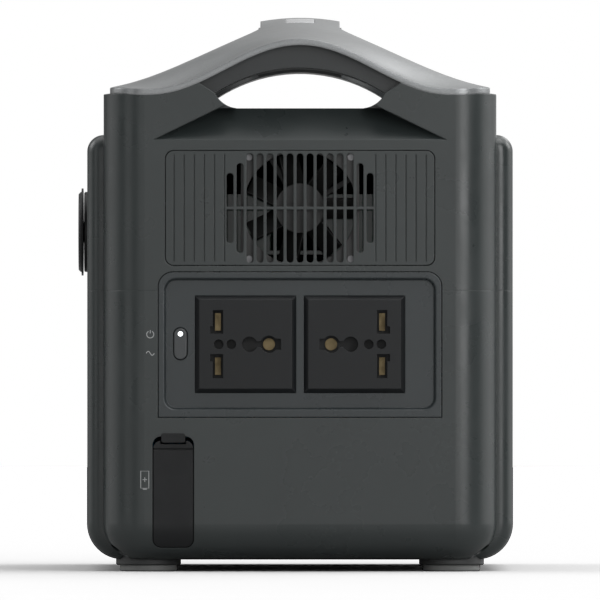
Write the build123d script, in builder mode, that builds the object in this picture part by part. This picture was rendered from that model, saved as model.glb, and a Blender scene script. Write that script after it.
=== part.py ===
from build123d import *
import os
from math import cos, pi

# Portable power station: two moulded shells around a cell pack, with a carrying handle on top.
# Millimetres. Origin under the centre of the object on the plane it stands on, +Z up.
# The outlet end faces -Y, the panel with the display faces -X.

# ---- Driving dimensions -------------------------------------------------------------------

BODY_X = 180.0
BODY_Y = 289.0
BODY_BASE = 5.0
BOTTOM_RADIUS = 15.0
WALL = 2.5
PARTING = 118.6
SHOULDER = 184.4
SHOULDER_RADIUS = 7.0
BULGE_HALF_Y = 127.0
BULGE_EDGE = 6.0

DECK_X = 166.0
DECK_CORNER = 17.4
DECK = 195.6
POST_START = 110.0
END_WALL = 6.0
SIDE_WALL = 6.0

SKIN = 2.7
SKIN_HALF_X = 80.3
SKIN_EAVES = 204.0
END_CROWN = 224.9
MID_CROWN = 235.4
GRIP_HALF_X = 16.9
PAD_PROUD = 0.8
PAD_THICKNESS = 2.0
FLARE_Y = 112.0
CORE_INSET = 1.2
ARCH_X = 35.9
ARCH_SPRING = 201.9
ARCH_TOP = 212.7

FOOT_X = 64.1
FOOT_Y = 116.0
FOOT_PAD_HEIGHT = 2.6
FOOT_PAD_RADIUS = 12.0
FOOT_SEAT_RADIUS = 13.6

GRILLE_X = 114.0
GRILLE_Z = 48.8
GRILLE_HEIGHT = 153.4
SLOT_PITCH = 4.22
SLOT_WIDTH = 2.9
SLOT_SIDE_COUNT = 7
FAN_SIZE = 50.0
FAN_DEPTH = 20.0

PANEL_X = 120.0
PANEL_LOW = 64.9
PANEL_HIGH = 126.6
PANEL_DEPTH = 6.0
DISH_DEPTH = 2.4
SEAM = 0.3

OUTLET_OFFSET = 23.0
OUTLET_HEIGHT = 95.9
OUTLET_X = 42.6
OUTLET_Z = 41.0
OUTLET_BEVEL = 1.8
OUTLET_DEPTH = 14.0
OUTLET_HOLE_DEPTH = 9.0

BUTTON_TRAVEL = 1.0
BUTTON_GAP = 0.25

FRONT_Y = 224.0
FRONT_LOW = 75.7
FRONT_HIGH = 172.6
FRONT_DEPTH = 3.0
FRONT_ROW = 97.5
FRONT_TOP_ROW = 143.5

CAR_Y = -80.0
CAR_BORE = 10.6
CAR_DEPTH = 42.0
CAR_CONTACT = 3.0
CAP_RADIUS = 18.5
CAP_PROUD = 4.0

CELL_RADIUS = 9.2
CELL_LENGTH = 65.0
CELL_PITCH = 19.6
CELL_ROWS_X = 8
CELL_ROWS_Y = 10
CELL_BASE = 11.0
PACK_Y = 8.0

BOSS_X = 76.0
BOSS_Y = 130.0
BOSS_RADIUS = 5.0
BOSS_HOLE = 1.7
BOSS_SEAT = 22.0
BOSS_THREAD = 18.0
SCREW_HEAD = 3.5
HANDLE_SCREW_X = 62.0
HANDLE_SCREW_Y = 124.0
HANDLE_SCREW_GRIP = 8.0
CAVITY_TOP = 178.9
RECESS_DEPTH = 14.0

PAD_HALF_Y = 66.0
INLAY_X = 12.0
INLAY_LENGTH = 36.0
INLAY_Y = -44.0
INLAY_DEPTH = 0.8

COVER_X = -53.5
COVER_LOW = 10.4
COVER_HIGH = 56.6
COVER_WIDTH = 16.7

HINGE_HEIGHT = 53.2
COVER_TOP = 55.2
TAB_HALF = 5.05
SOCKET_MIDDLE = 31.0
BEZEL_PROUD = 1.6
FLAP_THICKNESS = 1.8
SWITCH_CLEARANCE = 0.35

HOLDER_THICKNESS = 5.5
BAR_THICKNESS = 1.0
BOARD = 1.6
BATTERY_BOARD = 82.0
INVERTER_BOARD = 93.0
UPPER_BOARD = 134.0

GROOVE_START = 31.9
GROOVE_PITCH = 4.26
GROOVE_COUNT = 6
FAN_PIN = 2.9
FAN_BLADES = 7

BUTTON_X = -50.5
BUTTON_HEIGHT = 96.1
BUTTON_WIDTH = 5.6
BUTTON_LENGTH = 13.3
BUTTON_PROUD = 0.8
LIGHT_RADIUS = 1.05

DISPLAY_Y = 18.0
DISPLAY_WIDTH = 96.0
DISPLAY_TALL = 50.0
POWER_Y = 88.0
POWER_RADIUS = 9.0
POWER_WINDOW = 3.2
SMALL_RADIUS = 4.5
SMALL_WINDOW = 0.8
WINDOW_DEPTH = 1.5
USB_A_SPOTS = (62.0, 42.0, 22.0)
USB_C_Y = 2.0
USB_BUTTON_Y = 88.0
DC_BUTTON_Y = -34.0
JACK_SPOTS = (-62.0, -84.0)
SIDE_PROUD = 0.4

INLET_RECESS_X = 92.0
INLET_RECESS_LOW = 70.0
INLET_RECESS_HIGH = 112.0
INLET_RECESS_DEPTH = 3.0
MAINS_X = -20.0
SOLAR_X = 24.0
INLET_HEIGHT = 88.0
RESET_HEIGHT = 119.0
RESET_RADIUS = 3.5

# ---- Values worked out from them ----------------------------------------------------------

END_FACE = BODY_Y / 2
SIDE_FACE = BODY_X / 2
CELL_TOP = CELL_BASE + CELL_LENGTH
OUTLET_END = Plane.XZ.offset(END_FACE)
FAR_END = Plane(origin=(0, END_FACE, 0), x_dir=(-1, 0, 0), z_dir=(0, 1, 0))
FRONT_SIDE = Plane(origin=(-SIDE_FACE, 0, 0), x_dir=(0, -1, 0), z_dir=(-1, 0, 0))

os.makedirs("parts", exist_ok=True)


def blend(value):
    """Smooth step from 0 to 1, flat at both ends."""
    bounded = min(max(value, 0.0), 1.0)
    return bounded * bounded * (3 - 2 * bounded)


def skin_top(x, y):
    """Height of the handle's top skin: a bell across the body that widens towards the grip."""
    crown = MID_CROWN - (MID_CROWN - END_CROWN) * (abs(y) / END_FACE) ** 1.6
    reach = 90.0 + 30.0 * (1 - blend(abs(y) / 75.0))
    reach -= 26.0 * blend((abs(y) - FLARE_Y) / (END_FACE - FLARE_Y))
    if abs(x) >= reach:
        return SKIN_EAVES
    return SKIN_EAVES + (crown - SKIN_EAVES) * 0.5 * (1 + cos(pi * x / reach))


def under_skin(drop):
    """Solid from a flat floor up to the skin's top surface, lowered by drop."""
    rows = (-146, -134, -123, -112, -95, -75, -50, -25, 0, 25, 50, 75, 95, 112, 123, 134, 146)
    edge = 86
    floor = 170
    with BuildPart() as block:
        for row in rows:
            with BuildSketch(Plane.XZ.offset(-row)):
                with BuildLine():
                    steps = [edge * step / 8 for step in range(-8, 9)]
                    top = [(x, skin_top(x, row) - drop) for x in steps]
                    Spline(*top)
                    Polyline(top[-1], (edge, floor), (-edge, floor), top[0])
                make_face()
        loft()
    return block.part


def flare_plan(inset):
    """Hourglass plan of the handle: straight grip, flared to a foot along each end."""
    side = SKIN_HALF_X - inset
    grip = GRIP_HALF_X - inset
    with BuildSketch() as plan:
        with BuildLine():
            Polyline((grip, 0), (grip, 88 + inset), (side, FLARE_Y + inset), (side, END_FACE - inset),
                     (0, END_FACE - inset))
            mirror(about=Plane.YZ)
            mirror(about=Plane.XZ)
        make_face()
        corners = plan.vertices()
        fillet([v for v in corners if abs(abs(v.X) - grip) < 0.01], 40 + inset)
        foot_corners = [v for v in plan.vertices() if abs(abs(v.Y) - FLARE_Y - inset) < 0.01]
        fillet(foot_corners, 8)
        end_corners = [v for v in plan.vertices() if abs(abs(v.Y) - END_FACE + inset) < 0.01]
        fillet([v for v in end_corners if abs(v.X) > 1], DECK_CORNER - 3)
    return plan.sketch


def hand_opening():
    """The hand opening's section, carried past both ends: an arch over a flat deck."""
    with BuildPart() as gap:
        with BuildSketch(Plane.XZ):
            with BuildLine():
                ThreePointArc((-ARCH_X, ARCH_SPRING), (0, ARCH_TOP), (ARCH_X, ARCH_SPRING))
                ThreePointArc((ARCH_X, ARCH_SPRING), (ARCH_X - 3, DECK + 2.5), (ARCH_X - 9, DECK))
                Line((ARCH_X - 9, DECK), (9 - ARCH_X, DECK))
                ThreePointArc((9 - ARCH_X, DECK), (3 - ARCH_X, DECK + 2.5), (-ARCH_X, ARCH_SPRING))
            make_face()
        extrude(amount=BODY_Y, both=True)
    return gap.part


def column_form(inset):
    """Column with round corners that runs from end to end of the case, moved in by a wall."""
    with BuildPart() as column:
        with BuildSketch(Plane.XY.offset(BODY_BASE + inset)):
            RectangleRounded(DECK_X - 2 * inset, BODY_Y - 2 * inset, DECK_CORNER - inset)
        extrude(amount=DECK - BODY_BASE - 2 * inset)
        fillet(column.faces().sort_by(Axis.Z)[0].edges(), BOTTOM_RADIUS - inset)
    return column.part


def bulge_form(inset):
    """Wider middle stretch that makes both long sides bulge out of the column."""
    with BuildPart() as bulge:
        with BuildSketch(Plane.XZ) as outline:
            with Locations((0, (BODY_BASE + SHOULDER) / 2)):
                Rectangle(BODY_X - 2 * inset, SHOULDER - BODY_BASE - 2 * inset)
            fillet(outline.vertices().group_by(Axis.Y)[0], BOTTOM_RADIUS - inset)
            fillet(outline.vertices().group_by(Axis.Y)[-1], SHOULDER_RADIUS - inset)
        extrude(amount=BULGE_HALF_Y - inset, both=True)
        ends = bulge.faces().group_by(Axis.Y)
        fillet([*ends[0].edges(), *ends[-1].edges()], BULGE_EDGE - inset)
    return bulge.part


def case_form(low, high, inset):
    """Outline of the case between two heights, moved in by a wall."""
    with BuildPart() as form:
        with BuildSketch(Plane.XY.offset(low)):
            Rectangle(BODY_X, BODY_Y)
        extrude(amount=high - low)
        add(column_form(inset) + bulge_form(inset), mode=Mode.INTERSECT)
    return form.part


def panel_pocket(plane, width, low, high, radius, depth, square_foot=False):
    """Opening in a wall for a panel, seen square on to the given plane."""
    with BuildPart() as pocket:
        with BuildSketch(plane) as outline:
            with Locations((0, (low + high) / 2)):
                Rectangle(width, high - low)
            corners = outline.vertices()
            if square_foot:
                corners = corners.group_by(Axis.Y)[-1]
            fillet(corners, radius)
        extrude(amount=-depth)
    return pocket.part


# ---- Shared cutters -----------------------------------------------------------------------

roof = under_skin(0)
lowered_roof = under_skin(SKIN)
hand_gap = hand_opening()

grille_low = GRILLE_HEIGHT - GRILLE_Z / 2
grille_high = GRILLE_HEIGHT + GRILLE_Z / 2
grille_openings = [
    panel_pocket(plane, GRILLE_X, grille_low, grille_high, 3.6, 8) for plane in (OUTLET_END, FAR_END)
]
end_openings = [
    panel_pocket(plane, PANEL_X, PANEL_LOW, PANEL_HIGH, 6.3, 12, square_foot=True)
    for plane in (OUTLET_END, FAR_END)
]
front_opening = panel_pocket(FRONT_SIDE, FRONT_Y, FRONT_LOW, FRONT_HIGH, 8, 8)

with BuildPart() as core_room:
    with BuildSketch(Plane.XY.offset(DECK)):
        add(flare_plan(CORE_INSET))
        Rectangle(DECK_X - 2 * SIDE_WALL, BODY_Y - 2 * END_WALL, mode=Mode.INTERSECT)
    extrude(amount=60)

with BuildPart() as gasket_room:
    add(case_form(PARTING - 0.8, PARTING + 0.8, 0.8))
    add(case_form(PARTING - 0.8, PARTING + 0.8, 1.8), mode=Mode.SUBTRACT)
    add([*end_openings, front_opening], mode=Mode.SUBTRACT)

with BuildPart() as cover_room:
    with BuildSketch(OUTLET_END):
        with Locations((COVER_X, (COVER_LOW + COVER_HIGH) / 2)):
            RectangleRounded(COVER_WIDTH + 0.8, COVER_HIGH - COVER_LOW + 0.8, 3.6)
    extrude(amount=-12)

boss_spots = GridLocations(2 * BOSS_X, 2 * BOSS_Y, 2, 2)
handle_screw_spots = GridLocations(2 * HANDLE_SCREW_X, 2 * HANDLE_SCREW_Y, 2, 2)

# ---- Case ---------------------------------------------------------------------------------

lower_blank = case_form(BODY_BASE, PARTING, 0)

with BuildPart() as lower_case:
    add(lower_blank)
    add(case_form(BODY_BASE + WALL, PARTING + 1, WALL), mode=Mode.SUBTRACT)
    with BuildSketch(Plane.XY.offset(BODY_BASE + WALL)):
        with boss_spots:
            Circle(BOSS_RADIUS)
    extrude(amount=PARTING - BODY_BASE - WALL)
    add(lower_blank, mode=Mode.INTERSECT)
    with BuildSketch(Plane.XY):
        with boss_spots:
            Circle(BOSS_HOLE)
    extrude(amount=PARTING, mode=Mode.SUBTRACT)
    with BuildSketch(Plane.XY):
        with boss_spots:
            Circle(SCREW_HEAD + 0.3)
    extrude(amount=BOSS_SEAT, mode=Mode.SUBTRACT)
    add([gasket_room.part, *end_openings, front_opening, cover_room.part], mode=Mode.SUBTRACT)
lower_case.part.label = "lower_case"
export_step(lower_case.part, "parts/lower_case.step")

with BuildPart() as end_recess:
    with BuildSketch(Plane.XZ.offset(END_FACE + 1)):
        Polygon((-63.3, 181.6), (63.3, 181.6), (31.6, 197), (-31.6, 197), align=None)
    extrude(amount=-RECESS_DEPTH - 1)
    with BuildSketch(Plane.YZ):
        Polygon((-END_FACE - 1, 181.2), (-END_FACE - 1, 197), (RECESS_DEPTH - END_FACE, 197),
                (RECESS_DEPTH - END_FACE, DECK), align=None)
    extrude(amount=BODY_X, both=True, mode=Mode.INTERSECT)
    mirror(about=Plane.XZ)

with BuildPart() as fascia_notch:
    with BuildSketch(Plane.XZ.offset(END_FACE + 2)):
        Polygon((-43, 206.5), (-ARCH_X, ARCH_SPRING), (ARCH_X, ARCH_SPRING), (43, 206.5), (43, 240),
                (-43, 240), align=None)
    extrude(amount=-END_WALL - 2)
    mirror(about=Plane.XZ)

with BuildPart() as corner_posts:
    with BuildSketch(Plane.XY.offset(DECK - 4)):
        RectangleRounded(DECK_X, BODY_Y, DECK_CORNER)
        Rectangle(DECK_X, 2 * POST_START, mode=Mode.SUBTRACT)
    extrude(amount=45)
    add(lowered_roof, mode=Mode.INTERSECT)
    add(core_room.part, mode=Mode.SUBTRACT)

with BuildPart() as upper_case:
    add(case_form(PARTING, DECK, 0))
    add(corner_posts.part)
    add([hand_gap, end_recess.part, fascia_notch.part], mode=Mode.SUBTRACT)
    add(case_form(PARTING - 1, CAVITY_TOP, WALL), mode=Mode.SUBTRACT)
    with BuildSketch(Plane.XY.offset(CAVITY_TOP)):
        Rectangle(DECK_X - 30, 2 * POST_START - 20)
    extrude(amount=DECK - WALL - CAVITY_TOP, mode=Mode.SUBTRACT)
    with BuildSketch(Plane.XY.offset(PARTING)):
        with boss_spots:
            Circle(BOSS_RADIUS)
    extrude(amount=CAVITY_TOP - PARTING)
    with BuildSketch(Plane.XY.offset(PARTING)):
        with boss_spots:
            Circle(BOSS_HOLE)
    extrude(amount=BOSS_THREAD, mode=Mode.SUBTRACT)
    with BuildSketch(Plane.XY.offset(CAVITY_TOP)):
        with handle_screw_spots:
            Circle(BOSS_HOLE)
    extrude(amount=DECK - CAVITY_TOP, mode=Mode.SUBTRACT)
    add([gasket_room.part, *end_openings, *grille_openings, front_opening], mode=Mode.SUBTRACT)
upper_case.part.label = "upper_case"
export_step(upper_case.part, "parts/upper_case.step")

gasket_room.part.label = "case_gasket"
export_step(gasket_room.part, "parts/case_gasket.step")

with BuildPart() as case_screws:
    with BuildSketch(Plane.XY.offset(BOSS_SEAT - 3)):
        with boss_spots:
            Circle(SCREW_HEAD)
    extrude(amount=3)
    with BuildSketch(Plane.XY.offset(BOSS_SEAT)):
        with boss_spots:
            Circle(BOSS_HOLE)
    extrude(amount=PARTING + BOSS_THREAD - 1 - BOSS_SEAT)
    with BuildSketch(Plane.XY.offset(BOSS_SEAT - 3)):
        with boss_spots:
            RegularPolygon(1.6, 6)
    extrude(amount=1.6, mode=Mode.SUBTRACT)
case_screws.part.label = "case_screws"
export_step(case_screws.part, "parts/case_screws.step")

# ---- Feet ---------------------------------------------------------------------------------

foot_spots = GridLocations(2 * FOOT_X, 2 * FOOT_Y, 2, 2)

with BuildPart() as foot_seats:
    with BuildSketch(Plane.XY.offset(FOOT_PAD_HEIGHT)):
        with foot_spots:
            Circle(FOOT_SEAT_RADIUS)
    extrude(amount=4)
    chamfer(foot_seats.edges().group_by(Axis.Z)[0], 0.4)
    add(lower_blank, mode=Mode.SUBTRACT)
foot_seats.part.label = "foot_seats"
export_step(foot_seats.part, "parts/foot_seats.step")

with BuildPart() as foot_pads:
    with BuildSketch(Plane.XY):
        with foot_spots:
            Circle(FOOT_PAD_RADIUS)
    extrude(amount=FOOT_PAD_HEIGHT)
    fillet(foot_pads.edges().group_by(Axis.Z)[0], 0.6)
foot_pads.part.label = "foot_pads"
export_step(foot_pads.part, "parts/foot_pads.step")

# ---- Handle -------------------------------------------------------------------------------

with BuildPart() as top_inlay:
    with BuildSketch(Plane.XY.offset(DECK)):
        with Locations((0, INLAY_Y)):
            RectangleRounded(INLAY_X, INLAY_LENGTH, 2)
    extrude(amount=60)
    add(roof, mode=Mode.INTERSECT)
    add(under_skin(INLAY_DEPTH), mode=Mode.SUBTRACT)
top_inlay.part.label = "top_inlay"
export_step(top_inlay.part, "parts/top_inlay.step")

with BuildPart() as handle_cover:
    with BuildSketch(Plane.XY.offset(DECK)):
        add(flare_plan(0))
    extrude(amount=60)
    add(roof, mode=Mode.INTERSECT)
    add(lowered_roof, mode=Mode.SUBTRACT)
    add(top_inlay.part, mode=Mode.SUBTRACT)
handle_cover.part.label = "handle_cover"
export_step(handle_cover.part, "parts/handle_cover.step")

with BuildPart() as grip_pad:
    with BuildSketch(Plane.XY.offset(DECK)):
        RectangleRounded(2 * (GRIP_HALF_X + PAD_PROUD), 2 * PAD_HALF_Y, 3)
    extrude(amount=60)
    add(lowered_roof, mode=Mode.INTERSECT)
    add(hand_gap, mode=Mode.SUBTRACT)
    with BuildSketch(Plane.XZ):
        with Locations((0, ARCH_TOP + PAD_THICKNESS)):
            Rectangle(2 * (GRIP_HALF_X + PAD_PROUD - PAD_THICKNESS), 60, align=(Align.CENTER, Align.MIN))
    extrude(amount=PAD_HALF_Y, both=True, mode=Mode.SUBTRACT)
    with BuildSketch(Plane.XY.offset(DECK - 5)):
        Rectangle(BODY_X, BODY_Y)
    extrude(amount=ARCH_SPRING - DECK + 5, mode=Mode.SUBTRACT)
grip_pad.part.label = "grip_pad"
export_step(grip_pad.part, "parts/grip_pad.step")

with BuildPart() as handle_core:
    add(core_room.part)
    add(lowered_roof, mode=Mode.INTERSECT)
    add([hand_gap, grip_pad.part], mode=Mode.SUBTRACT)
    with BuildSketch(Plane.XY.offset(DECK)):
        with handle_screw_spots:
            Circle(BOSS_HOLE)
    extrude(amount=HANDLE_SCREW_GRIP, mode=Mode.SUBTRACT)
handle_core.part.label = "handle_core"
export_step(handle_core.part, "parts/handle_core.step")

with BuildPart() as handle_screws:
    with BuildSketch(Plane.XY.offset(CAVITY_TOP - 2.5)):
        with handle_screw_spots:
            Circle(SCREW_HEAD)
    extrude(amount=2.5)
    with BuildSketch(Plane.XY.offset(CAVITY_TOP)):
        with handle_screw_spots:
            Circle(BOSS_HOLE)
    extrude(amount=DECK + HANDLE_SCREW_GRIP - 0.5 - CAVITY_TOP)
handle_screws.part.label = "handle_screws"
export_step(handle_screws.part, "parts/handle_screws.step")

# ---- Vent grilles and fans ----------------------------------------------------------------


def slotted_insert(plane):
    """Flush wall insert with rounded vertical slots, a cross bar and fine grooves beside them."""
    with BuildPart() as insert:
        with BuildSketch(plane):
            with Locations((0, GRILLE_HEIGHT)):
                RectangleRounded(GRILLE_X - 2 * SEAM, GRILLE_Z - 2 * SEAM, 3.4)
        extrude(amount=-WALL)
        with BuildSketch(plane):
            for index in range(-SLOT_SIDE_COUNT, SLOT_SIDE_COUNT + 1):
                shorter = max(0, abs(index) - SLOT_SIDE_COUNT + 2)
                with Locations((index * SLOT_PITCH, GRILLE_HEIGHT)):
                    SlotOverall(46.1 - 8.3 * shorter, SLOT_WIDTH, rotation=90)
            with Locations((0, GRILLE_HEIGHT)):
                Rectangle(GRILLE_X, 1.2, mode=Mode.SUBTRACT)
        extrude(amount=-WALL, mode=Mode.SUBTRACT)
        with BuildSketch(plane):
            for index in range(GROOVE_COUNT):
                offset_x = GROOVE_START + index * GROOVE_PITCH
                with Locations((offset_x, GRILLE_HEIGHT), (-offset_x, GRILLE_HEIGHT)):
                    Rectangle(0.4, 45)
        extrude(amount=-0.35, mode=Mode.SUBTRACT)
    return insert.part


vent_grille = slotted_insert(OUTLET_END)
vent_grille.label = "vent_grille"
export_step(vent_grille, "parts/vent_grille.step")

intake_grille = slotted_insert(FAR_END)
intake_grille.label = "intake_grille"
export_step(intake_grille, "parts/intake_grille.step")


def fan_frame(plane):
    """Square fan frame open along its axis, with a rear spider that carries the rotor's pin."""
    with BuildPart() as frame:
        with BuildSketch(plane):
            RectangleRounded(FAN_SIZE, FAN_SIZE, 3)
            Circle(FAN_SIZE / 2 - 1, mode=Mode.SUBTRACT)
            with GridLocations(FAN_SIZE - 7, FAN_SIZE - 7, 2, 2):
                Circle(1.5, mode=Mode.SUBTRACT)
        extrude(amount=-FAN_DEPTH)
        with BuildSketch(plane.offset(-FAN_DEPTH)):
            Circle(11)
            with PolarLocations(17.5, 4, start_angle=30):
                Rectangle(15, 2.4)
        extrude(amount=2)
        with BuildSketch(plane.offset(-FAN_DEPTH)):
            Circle(FAN_PIN)
        extrude(amount=8)
    return frame.part


def fan_rotor(plane):
    """Wheel of pitched blades round a solid hub, bored at the back for the frame's pin."""
    with BuildPart(plane) as wheel:
        with Locations((0, 0, -8.5)):
            Cylinder(10.5, 13)
            with PolarLocations(16.6, FAN_BLADES):
                Box(13.4, 10, 1.2, rotation=(38, 0, 0))
        with Locations((0, 0, -15)):
            Cylinder(FAN_PIN + 0.05, 3.3, align=(Align.CENTER, Align.CENTER, Align.MIN),
                     mode=Mode.SUBTRACT)
    return wheel.part


def fan_screw_set(plane):
    """Four screws through a fan frame's corner holes."""
    with BuildPart(plane) as screws:
        with GridLocations(FAN_SIZE - 7, FAN_SIZE - 7, 2, 2):
            Cylinder(1.5, FAN_DEPTH, align=(Align.CENTER, Align.CENTER, Align.MAX))
        with Locations((0, 0, -FAN_DEPTH)):
            with GridLocations(FAN_SIZE - 7, FAN_SIZE - 7, 2, 2):
                Cylinder(2.7, 1.8, align=(Align.CENTER, Align.CENTER, Align.MAX))
    return screws.part


FAN_FRONT = END_FACE - WALL - 0.3
exhaust_plane = Plane(origin=(0, -FAN_FRONT, GRILLE_HEIGHT), x_dir=(1, 0, 0), z_dir=(0, -1, 0))
intake_plane = Plane(origin=(0, FAN_FRONT, GRILLE_HEIGHT), x_dir=(-1, 0, 0), z_dir=(0, 1, 0))

with BuildPart() as fan_frames:
    add([fan_frame(exhaust_plane), fan_frame(intake_plane)])
fan_frames.part.label = "fan_frames"
export_step(fan_frames.part, "parts/fan_frames.step")

exhaust_fan_rotor = fan_rotor(exhaust_plane)
exhaust_fan_rotor.label = "exhaust_fan_rotor"
export_step(exhaust_fan_rotor, "parts/exhaust_fan_rotor.step")

intake_fan_rotor = fan_rotor(intake_plane)
intake_fan_rotor.label = "intake_fan_rotor"
export_step(intake_fan_rotor, "parts/intake_fan_rotor.step")

with BuildPart() as fan_screws:
    add([fan_screw_set(exhaust_plane), fan_screw_set(intake_plane)])
fan_screws.part.label = "fan_screws"
export_step(fan_screws.part, "parts/fan_screws.step")

# ---- Outlet panel -------------------------------------------------------------------------

button_spot = Locations((BUTTON_X, BUTTON_HEIGHT))
outlet_spots = Locations((-OUTLET_OFFSET, OUTLET_HEIGHT), (OUTLET_OFFSET, OUTLET_HEIGHT))
dish_plane = OUTLET_END.offset(-DISH_DEPTH)

with BuildPart() as ac_panel:
    add(panel_pocket(OUTLET_END, PANEL_X - 2 * SEAM, PANEL_LOW + SEAM, PANEL_HIGH - SEAM, 6,
                     PANEL_DEPTH, square_foot=True))
    with BuildSketch(OUTLET_END):
        with Locations((0, 96.05)):
            RectangleRounded(114.6, 55.5, 5)
    extrude(amount=-DISH_DEPTH, taper=20, mode=Mode.SUBTRACT)
    fillet(ac_panel.faces().filter_by(Axis.Y).sort_by(Axis.Y)[0].inner_wires()[0].edges(), 0.6)
    with BuildSketch(OUTLET_END):
        with outlet_spots:
            Rectangle(OUTLET_X, OUTLET_Z)
        with button_spot:
            SlotOverall(BUTTON_LENGTH + 2 * BUTTON_GAP, BUTTON_WIDTH + 2 * BUTTON_GAP, rotation=90)
    extrude(amount=-PANEL_DEPTH, mode=Mode.SUBTRACT)
ac_panel.part.label = "ac_panel"
export_step(ac_panel.part, "parts/ac_panel.step")


def outlet_holes(side):
    """Openings of a universal outlet about its centre; side is 1 or -1 for the mirrored one."""
    with BuildSketch() as holes:
        for middle, height in ((9.45, 9.9), (-9.25, 10.1)):
            with Locations((-11.65 * side, middle)):
                Rectangle(4.3, height)
        for foot in (6.0, -5.7):
            with Locations((-14.35 * side, foot)):
                Rectangle(1.2, 3)
        for spot, radius in ((-11.3, 2.0), (-6.0, 2.0), (1.7, 3.2), (9.9, 3.6)):
            with Locations((spot * side, 0)):
                Circle(radius)
        with Locations((5.8 * side, 0)):
            Rectangle(6, 2.3)
        with Locations((12.4 * side, 0)):
            Rectangle(5, 4.5)
    return holes.sketch


def outlet(side):
    """Bevelled universal outlet block with blind openings; side -1 is the left one."""
    front = OUTLET_END.offset(-0.3)
    with BuildPart() as block:
        with BuildSketch(front):
            with Locations((side * OUTLET_OFFSET, OUTLET_HEIGHT)):
                Rectangle(OUTLET_X, OUTLET_Z)
        extrude(amount=-OUTLET_DEPTH)
        chamfer(block.faces().sort_by(Axis.Y)[0].edges(), OUTLET_BEVEL)
        with BuildSketch(front):
            with Locations((side * OUTLET_OFFSET, OUTLET_HEIGHT)):
                add(outlet_holes(-side))
        extrude(amount=-OUTLET_HOLE_DEPTH, mode=Mode.SUBTRACT)
    return block.part


outlet_left = outlet(-1)
outlet_left.label = "outlet_left"
export_step(outlet_left, "parts/outlet_left.step")

outlet_right = outlet(1)
outlet_right.label = "outlet_right"
export_step(outlet_right, "parts/outlet_right.step")

with BuildPart() as outlet_contacts:
    with BuildSketch(OUTLET_END.offset(-0.3 - OUTLET_HOLE_DEPTH)):
        for side in (-1, 1):
            centre = side * OUTLET_OFFSET
            with Locations((centre + 11.65 * side, OUTLET_HEIGHT + 9.45),
                           (centre + 11.65 * side, OUTLET_HEIGHT - 9.25)):
                Rectangle(2.6, 7.5)
            with Locations((centre - 9.9 * side, OUTLET_HEIGHT)):
                Circle(2.6)
    extrude(amount=2.5)
with BuildPart() as ac_button:
    with BuildSketch(dish_plane.offset(BUTTON_PROUD)):
        with button_spot:
            SlotOverall(BUTTON_LENGTH, BUTTON_WIDTH, rotation=90)
    extrude(amount=-(BUTTON_PROUD + PANEL_DEPTH - DISH_DEPTH + 0.3))
    fillet(ac_button.faces().sort_by(Axis.Y)[0].edges(), 0.5)
    with BuildSketch(OUTLET_END.offset(-PANEL_DEPTH - 0.3)):
        with button_spot:
            SlotOverall(BUTTON_LENGTH + 2.4, BUTTON_WIDTH + 2.4, rotation=90)
    extrude(amount=-1.2)
    with BuildSketch(dish_plane.offset(BUTTON_PROUD)):
        with Locations((BUTTON_X, BUTTON_HEIGHT + 4.2)):
            Circle(LIGHT_RADIUS)
    extrude(amount=-2, mode=Mode.SUBTRACT)
ac_button.part.label = "ac_button"
export_step(ac_button.part, "parts/ac_button.step")

with BuildPart() as ac_button_light:
    with BuildSketch(dish_plane.offset(BUTTON_PROUD - 2)):
        with Locations((BUTTON_X, BUTTON_HEIGHT + 4.2)):
            Circle(LIGHT_RADIUS)
    extrude(amount=2)
ac_button_light.part.label = "ac_button_light"
export_step(ac_button_light.part, "parts/ac_button_light.step")

# ---- Expansion socket and its hinged rubber cover -----------------------------------------

socket_front = OUTLET_END.offset(-WALL - 3.5)

with BuildPart() as expansion_cover:
    with BuildSketch(OUTLET_END):
        with Locations((COVER_X, (COVER_LOW + COVER_TOP) / 2)):
            RectangleRounded(COVER_WIDTH, COVER_TOP - COVER_LOW, 3.2)
        with Locations((COVER_X, COVER_TOP)):
            Rectangle(2 * TAB_HALF + 0.8, 2 * (COVER_TOP - HINGE_HEIGHT - 0.6), mode=Mode.SUBTRACT)
    extrude(amount=-9)
    add(lower_blank, mode=Mode.INTERSECT)
    add(case_form(BODY_BASE + WALL, PARTING, WALL), mode=Mode.SUBTRACT)
    with BuildSketch(OUTLET_END):
        with Locations((COVER_X, HINGE_HEIGHT - 1.6)):
            Rectangle(COVER_WIDTH, 0.8)
    extrude(amount=-0.8, mode=Mode.SUBTRACT)
expansion_cover.part.label = "expansion_cover"
export_step(expansion_cover.part, "parts/expansion_cover.step")

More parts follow.
